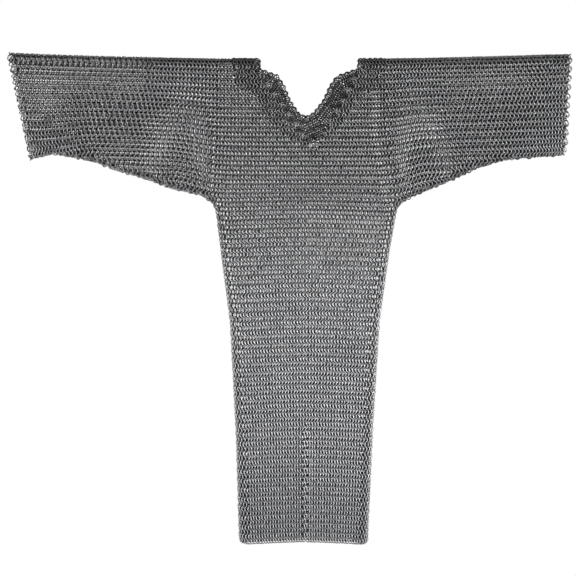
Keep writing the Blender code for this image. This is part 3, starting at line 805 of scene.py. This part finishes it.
def cuff_rings(side, sizes):
    """The rings down the edge of a cuff."""
    (top_x, _), (_, low_z) = CUFFS[side]
    path = [
        (side * (cuff_x(side, z) - CUFF_INSETS[side]), z - top_height(top_x))
        for z in (QUARTER_TURN, low_z + CUFF_RINGS_END)
    ]
    place, direction = walk(path, CUFF_ROWS_A_RING[side] * sizes.sleeve_row)
    outward = turned(direction, side)
    lean = CUFF_LEANS[side] * (-1.0) ** np.arange(len(place))
    return Rings.joined(
        [edge_rings(face, place, direction, outward, lean) for face in (FRONT, BACK)]
    )


def seam_rings(side, sizes, chance):
    """The rings that hang along the underside of a sleeve and close it."""
    path = [point for point in FOLDS[side] if point[1] > SEAM_LOWEST][1:]
    place, direction = walk(path, SEAM_ROWS_A_RING * sizes.sleeve_row)
    count = len(place)
    out = turned(direction, 1)
    drop = BEND_RADIUS - SEAM_RISE + chance.uniform(*SEAM_DROPS, count)
    flat = place + out * drop[:, None]
    depth = chance.uniform(*SEAM_DEPTHS, count)
    centre = np.stack((side * flat[:, 0], depth, flat[:, 1]), 1)
    along = np.stack((side * direction[:, 0], np.zeros(count), direction[:, 1]), 1)
    down = np.stack((side * out[:, 0], np.zeros(count), out[:, 1]), 1)
    lean = np.radians(chance.uniform(*SEAM_LEANS, count)) * (-1.0) ** np.arange(count)
    face = np.where(side * np.cross(down, along)[:, 1] > 0, BACK, FRONT)
    zeros = np.zeros(count)
    return Rings(centre, along, down, lean, zeros, np.full(count, float(side)), face)


def thinned(rings):
    """The rings without those that crowd an earlier one, as happens where folds meet."""
    tree = KDTree(len(rings.centre))
    for i, centre in enumerate(rings.centre):
        tree.insert(centre, i)
    tree.balance()
    kept = np.ones(len(rings.centre), bool)
    for i, centre in enumerate(rings.centre):
        if kept[i]:
            for _, other, _ in tree.find_range(centre, LEAST_GAP):
                if other > i:
                    kept[other] = False
    return rings.pick(kept)


# Making the pieces


def ring_tree():
    """The node tree that puts a riveted ring on every point of a mesh."""
    tree = bpy.data.node_groups.new("Riveted Rings", "GeometryNodeTree")
    face = tree.interface
    face.new_socket("Geometry", in_out="INPUT", socket_type="NodeSocketGeometry")
    for name in ("Ring Outside", "Wire", "Lap Width", "Rivet Height", "Tone Spread", "Cell Size"):
        face.new_socket(name, in_out="INPUT", socket_type="NodeSocketFloat")
    face.new_socket("Seed", in_out="INPUT", socket_type="NodeSocketInt")
    face.new_socket("Steel", in_out="INPUT", socket_type="NodeSocketMaterial")
    face.new_socket("Geometry", in_out="OUTPUT", socket_type="NodeSocketGeometry")
    add = Nodes(tree)
    given = add.add("NodeGroupInput").outputs
    turn = 2 * math.pi

    # A sheet of one by one is rolled into a ring
    sheet = add.add(
        "GeometryNodeMeshGrid",
        {
            "Size X": 1.0,
            "Size Y": 1.0,
            "Vertices X": RING_FACES + 1,
            "Vertices Y": WIRE_FACES + 1,
        },
    )
    position = add.add("GeometryNodeInputPosition").outputs[0]
    place = add.add("ShaderNodeSeparateXYZ", {0: position}).outputs
    round_ring = add.math("MULTIPLY", add.math("ADD", place[0], 0.5), turn)
    round_wire = add.math("MULTIPLY", add.math("ADD", place[1], 0.5), turn)
    radius = add.math("MULTIPLY", given["Wire"], 0.5)
    middle = add.math("SUBTRACT", add.math("MULTIPLY", given["Ring Outside"], 0.5), radius)
    off_lap = add.math("MULTIPLY", add.math("ABSOLUTE", place[0]), 1 / LAP_SHARE)
    lap = add.math("MAXIMUM", add.math("SUBTRACT", 1.0, off_lap), 0.0)
    widening = add.math("ADD", 1.0, add.math("MULTIPLY", lap, given["Lap Width"]))
    wide = add.math("MULTIPLY", radius, widening)
    reach = add.math("ADD", middle, add.math("MULTIPLY", wide, add.math("COSINE", round_wire)))
    off_side = add.math("ABSOLUTE", add.math("ADD", place[1], RIVET_TURN_SHARE))
    on_side = add.math("LESS_THAN", off_side, RIVET_NEAR_SHARE)
    on_lap = add.math("LESS_THAN", add.math("ABSOLUTE", place[0]), RIVET_NEAR_SHARE)
    rivet = add.math("MULTIPLY", add.math("MULTIPLY", on_side, on_lap), given["Rivet Height"])
    height = add.math("MULTIPLY", radius, add.math("SINE", round_wire))
    rolled = add.add(
        "ShaderNodeCombineXYZ",
        {
            0: add.math("MULTIPLY", reach, add.math("COSINE", round_ring)),
            1: add.math("MULTIPLY", reach, add.math("SINE", round_ring)),
            2: add.math("ADD", height, rivet),
        },
    )
    mapped = add.store(sheet.outputs["Mesh"], "OFBake", sheet.outputs["UV Map"], "FLOAT2", "CORNER")
    ring = add.add("GeometryNodeSetPosition", {"Geometry": mapped, "Position": rolled.outputs[0]})
    ring = add.add(
        "GeometryNodeMergeByDistance",
        {"Geometry": ring.outputs[0], "Distance": DOUBLES},
    )
    ring = add.add("GeometryNodeSetShadeSmooth", {"Geometry": ring.outputs[0]})

    def read(name, kind):
        return add.add("GeometryNodeInputNamedAttribute", {"Name": name}, data_type=kind).outputs[0]

    facing = add.add(
        "FunctionNodeAxesToRotation",
        {0: read("axis", "FLOAT_VECTOR"), 1: read("lap", "FLOAT_VECTOR")},
        primary_axis="Z",
        secondary_axis="X",
    )
    placed = add.add(
        "GeometryNodeInstanceOnPoints",
        {"Points": given["Geometry"], "Instance": ring.outputs[0], "Rotation": facing.outputs[0]},
    )
    tone = add.add(
        "FunctionNodeRandomValue",
        {"Max": given["Tone Spread"], "Seed": given["Seed"]},
        data_type="FLOAT",
    )
    toned = add.store(placed.outputs[0], "tone", tone.outputs["Value"], "FLOAT", "INSTANCE")
    real = add.add("GeometryNodeRealizeInstances", {"Geometry": toned})
    scaled = add.vector("SCALE", read("OFBake", "FLOAT_VECTOR"), given["Cell Size"])
    spot = add.vector("ADD", scaled, read("cell", "FLOAT_VECTOR"))
    spread = add.store(real.outputs[0], "OFBake", spot, "FLOAT2", "CORNER")
    # Rings are bright from rubbing where they stand out of the mail, and dark inside it, partly with
    # oxide and partly as painted shade where other rings would shade them
    off_middle = add.vector("SUBTRACT", position, read("middle", "FLOAT_VECTOR"))
    height = add.vector("DOT_PRODUCT", off_middle, read("out", "FLOAT_VECTOR"))
    tallest = add.math("MULTIPLY", given["Ring Outside"], RUB_AND_SHADE_DEPTH_SHARE)
    rub_and_shade = add.math("ADD", add.math("DIVIDE", height, tallest), 0.5)
    rubbed_and_shaded = add.store(spread, "rub_and_shade", rub_and_shade, "FLOAT", "POINT")
    steel = add.add("GeometryNodeSetMaterial", {"Geometry": rubbed_and_shaded, "Material": given["Steel"]})
    add.put(add.add("NodeGroupOutput").inputs[0], steel.outputs[0])
    return tree


def steel_material(name, colours, finish):
    """Dark oxidised steel, bright from rubbing where rings stand out of the mail and dark deeper in it,
    partly with oxide and partly as painted shade, each ring in its own tone.

    The colours are given by how far below the neck they are, with painted shade that darkens the
    shoulders.
    """
    material = bpy.data.materials.new(name)
    material.use_nodes = True
    add = Nodes(material.node_tree)
    shader = material.node_tree.nodes["Principled BSDF"]
    shader.inputs["Metallic"].default_value = finish.metallic
    where = add.add("ShaderNodeTexCoord").outputs["Object"]
    tone = add.add("ShaderNodeAttribute", attribute_name="tone").outputs["Fac"]
    # Depth in the mail darkens the steel: partly oxide, partly painted shade
    rub_and_shade = add.add("ShaderNodeAttribute", attribute_name="rub_and_shade").outputs["Fac"]
    wear_and_shade = add.math("ADD", add.math("MULTIPLY", rub_and_shade, RUB_AND_SHADE_SHARE), tone)
    for noise, share in ((GRAIN, GRAIN_SHARE), (PATINA, PATINA_SHARE)):
        spots = add.add("ShaderNodeTexNoise", {"Vector": where, **noise}).outputs["Fac"]
        wear_and_shade = add.math("ADD", wear_and_shade, add.math("MULTIPLY", spots, share))
    wear_and_shade = add.math("SUBTRACT", wear_and_shade, WEAR_OFF)
    worn_and_shaded = add.add("ShaderNodeValToRGB", {"Fac": wear_and_shade})
    worn_and_shaded.color_ramp.elements[0].position = OXIDE_GOES
    worn_and_shaded.color_ramp.elements[0].color = (finish.oxide, finish.oxide, finish.oxide, 1)
    worn_and_shaded.color_ramp.elements[1].position = OXIDE_GONE
    # Colour by depth below the neck, with painted shade darkening the shoulders
    height = add.add("ShaderNodeSeparateXYZ", {0: where}).outputs[2]
    steel = add.add("ShaderNodeValToRGB", {"Fac": add.math("MULTIPLY", height, -1.0)})
    steel.color_ramp.elements.remove(steel.color_ramp.elements[1])
    for depth, colour in colours:
        steel.color_ramp.elements.new(depth).color = (*colour, 1)
    steel.color_ramp.elements[0].color = (*colours[0][1], 1)
    both = add.vector("MULTIPLY", worn_and_shaded.outputs["Color"], steel.outputs["Color"])
    add.put(shader.inputs["Base Color"], both)
    rough = add.math("SUBTRACT", ROUGHNESS, add.math("MULTIPLY", wear_and_shade, POLISH))
    add.put(shader.inputs["Roughness"], rough)
    pits = add.add("ShaderNodeTexNoise", {"Vector": where, **PITS})
    bump = add.add("ShaderNodeBump", PIT_BUMP)
    add.put(bump.inputs["Height"], pits.outputs["Fac"])
    add.put(shader.inputs["Normal"], bump.outputs["Normal"])
    return material


def socket_id(tree, name):
    for item in tree.interface.items_tree:
        if item.name == name and item.in_out == "INPUT":
            return item.identifier
    raise KeyError(name)


def steel_of(slot):
    """The steel of a slot. Its name differs from that of the plain one that the frame brings."""
    finish = bpy.context.scene.mail_steel
    name = "woven_" + slot
    if name in bpy.data.materials:
        return bpy.data.materials[name]
    depth_colours = SLEEVE_STEELS if slot == "sleeve_mail" else BODY_STEELS_AND_SHADE
    colours = [(depth, getattr(finish, steel)) for depth, steel in depth_colours]
    return steel_material(name, colours, finish)


def make_piece(name, rings, slot):
    """One piece of mail: a ring at every given place, as a plain mesh."""
    sizes = bpy.context.scene.mail_weave
    finish = bpy.context.scene.mail_steel
    tree = bpy.data.node_groups.get("Riveted Rings") or ring_tree()
    chance = np.random.default_rng(sizes.seed + len(rings.row))
    count = len(rings.row)
    centre = rings.centre + chance.uniform(-1, 1, (count, 3)) * sizes.scatter
    axis = unit(rings.axis + chance.normal(0, sizes.wobble, (count, 3)))
    spin = chance.uniform(0, 2 * math.pi, count)
    aside = np.cross(axis, rings.down)
    lap = rings.down * np.cos(spin)[:, None] + aside * np.sin(spin)[:, None]
    across = math.ceil(math.sqrt(count))
    index = np.arange(count)
    cell = np.stack((index % across, index // across, 0 * index), 1) / across
    mesh = bpy.data.meshes.new(name)
    mesh.from_pydata(centre.tolist(), [], [])
    places = {
        "axis": axis,
        "lap": lap,
        "cell": cell + CELL_MARGIN_SHARE / across,
        "middle": centre,
        "out": rings.out,
    }
    for key, values in places.items():
        mesh.attributes.new(key, "FLOAT_VECTOR", "POINT").data.foreach_set("vector", values.ravel())
    piece = bpy.data.objects.new(name, mesh)
    bpy.context.scene.collection.objects.link(piece)
    modifier = piece.modifiers.new("Rings", "NODES")
    modifier.node_group = tree
    values = {
        "Ring Outside": sizes.ring_outside,
        "Wire": sizes.wire,
        "Lap Width": sizes.lap_width,
        "Rivet Height": sizes.rivet_height,
        "Tone Spread": finish.tone_spread,
        "Cell Size": (1 - 2 * CELL_MARGIN_SHARE) / across,
        "Seed": sizes.seed,
        "Steel": steel_of(slot),
    }
    for key, value in values.items():
        modifier[socket_id(tree, key)] = value
    graph = bpy.context.evaluated_depsgraph_get()
    made = bpy.data.meshes.new_from_object(piece.evaluated_get(graph))
    piece.modifiers.remove(modifier)
    piece.data = made
    bpy.data.meshes.remove(mesh)
    made.name = name
    # The ring tree leaves an empty material slot in front of the steel's
    made.materials.clear()
    made.materials.append(steel_of(slot))
    made.polygons.foreach_set("material_index", np.zeros(len(made.polygons), int))
    for key in places:
        if key in made.attributes:
            made.attributes.remove(made.attributes[key])
    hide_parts(*NODES_OF[name])
    return piece


def rows_between(rings, limits):
    return (rings.row >= limits[0]) & (rings.row <= limits[1])


def of_body(rings):
    return np.abs(rings.column - MIDDLE_COLUMN) <= columns_to_side(rings.column)


def body_rings(rings, limits, face):
    """The rings of the body between two rows, in front or behind."""
    return rings.pick(of_body(rings) & rows_between(rings, limits) & (rings.face == face))


def woven():
    """All woven rings, with those left out that would stand in one another."""
    return thinned(weave(bpy.context.scene.mail_weave))


class MAIL_OT_chest(bpy.types.Operator):
    """Lay the mail of the shoulders and chest, with the rings round the neck"""

    bl_idname = "mail_shirt.chest"
    bl_label = "Chest and Shoulders"

    def execute(self, context):
        rings = woven()
        edge = neck_rings(context.scene.mail_weave)
        for word, face in FACES.items():
            mine = body_rings(rings, CHEST_ROWS, face)
            both = Rings.joined([mine, edge.pick(edge.face == face)])
            piece = make_piece("chest_mail_" + word, both, "shoulder_mail")
            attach(piece, "shoulders")
        return {"FINISHED"}


class MAIL_OT_sleeves(bpy.types.Operator):
    """Lay the mail of both sleeves, with the rings of the cuffs and undersides"""

    bl_idname = "mail_shirt.sleeves"
    bl_label = "Sleeves"

    def execute(self, context):
        sizes = context.scene.mail_weave
        chance = np.random.default_rng(sizes.seed)
        rings = woven()
        rings = rings.pick(~of_body(rings))
        for hand, side in SIDES.items():
            mine = rings.pick(rings.column * side > 0)
            hanging = seam_rings(side, sizes, chance)
            both = Rings.joined([mine, cuff_rings(side, sizes), hanging])
            high = rows_between(both, SLEEVE_TOP_ROWS)
            behind = both.face == BACK
            parts = {"front": ~behind, "top": behind & high, "back": behind & ~high}
            for word, chosen in parts.items():
                piece = make_piece(f"sleeve_mail_{word}_{hand}", both.pick(chosen), "sleeve_mail")
                start, end = (tuple(side * part for part in point) for point in SLEEVE_BEND)
                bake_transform(piece)
                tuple(start)
                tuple(end)
        return {"FINISHED"}


class MAIL_OT_midriff(bpy.types.Operator):
    """Lay the mail between the armpits and the waist"""

    bl_idname = "mail_shirt.midriff"
    bl_label = "Midriff"

    def execute(self, context):
        rings = woven()
        for word, face in FACES.items():
            mine = body_rings(rings, MIDRIFF_ROWS, face)
            piece = make_piece("midriff_mail_" + word, mine, "body_mail")
            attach(piece, "shoulders")
        return {"FINISHED"}


class MAIL_OT_waist(bpy.types.Operator):
    """Lay the mail from the waist down to the slit"""

    bl_idname = "mail_shirt.waist"
    bl_label = "Waist"

    def execute(self, context):
        rings = woven()
        for word, face in FACES.items():
            mine = body_rings(rings, WAIST_ROWS, face)
            piece = make_piece("waist_mail_" + word, mine, "body_mail")
            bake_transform(piece)
        return {"FINISHED"}


class MAIL_OT_skirts(bpy.types.Operator):
    """Lay the mail of the skirt halves on either side of the slit"""

    bl_idname = "mail_shirt.skirts"
    bl_label = "Skirt Halves"

    def execute(self, context):
        rings = woven()
        rings = rings.pick(of_body(rings) & rows_between(rings, SKIRT_ROWS))
        for hand, side in SIDES.items():
            mine = rings.pick((rings.column - MIDDLE_COLUMN) * side > 0)
            piece = make_piece("skirt_mail_" + hand, mine, "skirt_mail")
            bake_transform(piece)
        return {"FINISHED"}


def white_rays(add):
    """1 for the rays that should see a plain white background, and 0 for others."""
    path = add.add("ShaderNodeLightPath").outputs
    seen = add.math("MAXIMUM", path["Is Camera Ray"], path["Is Glossy Ray"])
    return add.math("MAXIMUM", seen, path["Is Transmission Ray"])


def make_world(stage):
    world = bpy.data.worlds.new("Studio")
    world.use_nodes = True
    world.node_tree.nodes.clear()
    add = Nodes(world.node_tree)
    # The background is white from the floor to well above the horizon, and dark overhead
    where = add.add("ShaderNodeTexCoord").outputs["Generated"]
    height = add.add("ShaderNodeSeparateXYZ", {0: where}).outputs[2]
    ramp = add.add("ShaderNodeValToRGB", {"Fac": height})
    for i, (stop, colour) in enumerate(((WHITE_UP_TO, WHITE), (DARK_FROM, DARK))):
        ramp.color_ramp.elements[i].position = stop
        ramp.color_ramp.elements[i].color = colour
    shown = add.add("ShaderNodeBackground", {"Color": ramp.outputs["Color"], "Strength": 1.0})
    soft = add.add("ShaderNodeBackground", {"Color": WHITE, "Strength": stage.ambient})
    mixed = add.add("ShaderNodeMixShader", {0: white_rays(add)})
    add.put(mixed.inputs[1], soft.outputs[0])
    add.put(mixed.inputs[2], shown.outputs[0])
    add.put(add.add("ShaderNodeOutputWorld").inputs[0], mixed.outputs[0])
    return world


def make_floor(stage):
    mesh = bpy.data.meshes.new("floor")
    reach, z = FLOOR_REACH, stage.floor_height
    corners = [(-reach, -reach, z), (reach, -reach, z), (reach, reach, z), (-reach, reach, z)]
    mesh.from_pydata(corners, [], [(0, 1, 2, 3)])
    floor = bpy.data.objects.new("floor", mesh)
    bpy.context.scene.collection.objects.link(floor)
    material = bpy.data.materials.new("Pale Floor")
    material.use_nodes = True
    material.node_tree.nodes.clear()
    add = Nodes(material.node_tree)
    where = add.add("ShaderNodeTexCoord").outputs["Object"]
    grain = add.add("ShaderNodeTexNoise", {"Vector": where, "Scale": FLOOR_GRAIN})
    ramp = add.add("ShaderNodeValToRGB", {"Fac": grain.outputs["Fac"]})
    for i, tone in enumerate(FLOOR_TONES):
        ramp.color_ramp.elements[i].color = tone
    matt = add.add("ShaderNodeBsdfDiffuse", {"Color": ramp.outputs["Color"]})
    lift = add.math("MULTIPLY", white_rays(add), FLOOR_GLOW)
    glow = add.add("ShaderNodeEmission", {"Strength": lift})
    both = add.add("ShaderNodeAddShader", {0: matt.outputs[0], 1: glow.outputs[0]})
    add.put(add.add("ShaderNodeOutputMaterial").inputs[0], both.outputs[0])
    mesh.materials.append(material)
    floor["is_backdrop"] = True


def add_light(name, power):
    place, size = LIGHTS[name]
    data = bpy.data.lights.new(name, "AREA")
    data.shape = "RECTANGLE"
    data.size, data.size_y = size
    data.energy = power
    light = bpy.data.objects.new(name, data)
    light.location = place
    way = Vector(LIT_PLACE) - Vector(place)
    light.rotation_euler = way.to_track_quat("-Z", "Y").to_euler()
    bpy.context.scene.collection.objects.link(light)


class MAIL_OT_stage(bpy.types.Operator):
    """Set up the floor, the soft light and the camera"""

    bl_idname = "mail_shirt.stage"
    bl_label = "Stage"

    def execute(self, context):
        scene = context.scene
        stage = scene.mail_stage
        scene.world = make_world(stage)
        make_floor(stage)
        add_light("key", stage.key_power)
        add_light("fill", stage.fill_power)
        data = bpy.data.cameras.new("camera")
        data.lens = stage.lens
        camera = bpy.data.objects.new("camera", data)
        distance = stage.view_width * stage.lens / data.sensor_width
        camera.location = (VIEW_MIDDLE[0], -distance, VIEW_MIDDLE[1])
        camera.rotation_euler = (math.pi / 2, 0, 0)
        scene.collection.objects.link(camera)
        scene.camera = camera
        scene.view_settings.view_transform = "Standard"
        return {"FINISHED"}


class MAIL_PT_panel(bpy.types.Panel):
    """Lists the pieces of the mail shirt and the stage"""

    bl_idname = "MAIL_PT_panel"
    bl_label = "Mail Shirt"
    bl_space_type = "VIEW_3D"
    bl_region_type = "UI"
    bl_category = "Mail Shirt"

    def draw(self, context):
        for operator in OPERATORS:
            self.layout.operator(operator.bl_idname)
        for group in (context.scene.mail_weave, context.scene.mail_steel, context.scene.mail_stage):
            box = self.layout.box()
            for name in group.bl_rna.properties.keys():
                if name not in {"rna_type", "name"}:
                    box.prop(group, name)


OPERATORS = (
    MAIL_OT_stage,
    MAIL_OT_chest,
    MAIL_OT_sleeves,
    MAIL_OT_midriff,
    MAIL_OT_waist,
    MAIL_OT_skirts,
)
SETTINGS = {"mail_weave": WeaveSizes, "mail_steel": SteelFinish, "mail_stage": StageSettings}


def register():
    for cls in (*SETTINGS.values(), *OPERATORS, MAIL_PT_panel):
        bpy.utils.register_class(cls)
    for name, cls in SETTINGS.items():
        setattr(bpy.types.Scene, name, bpy.props.PointerProperty(type=cls))


def unregister():
    for name in SETTINGS:
        delattr(bpy.types.Scene, name)
    for cls in (MAIL_PT_panel, *reversed(OPERATORS), *reversed(SETTINGS.values())):
        bpy.utils.unregister_class(cls)


def main():
    register()
    bpy.ops.mail_shirt.stage()
    bpy.ops.mail_shirt.chest()
    bpy.ops.mail_shirt.sleeves()
    bpy.ops.mail_shirt.midriff()
    bpy.ops.mail_shirt.waist()
    bpy.ops.mail_shirt.skirts()
    boxes = {"cad": CAD_BOX, "visual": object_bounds()}
    plain = {key: [[float(part) for part in corner] for corner in box] for key, box in boxes.items()}


if __name__ == "__main__":
    main()
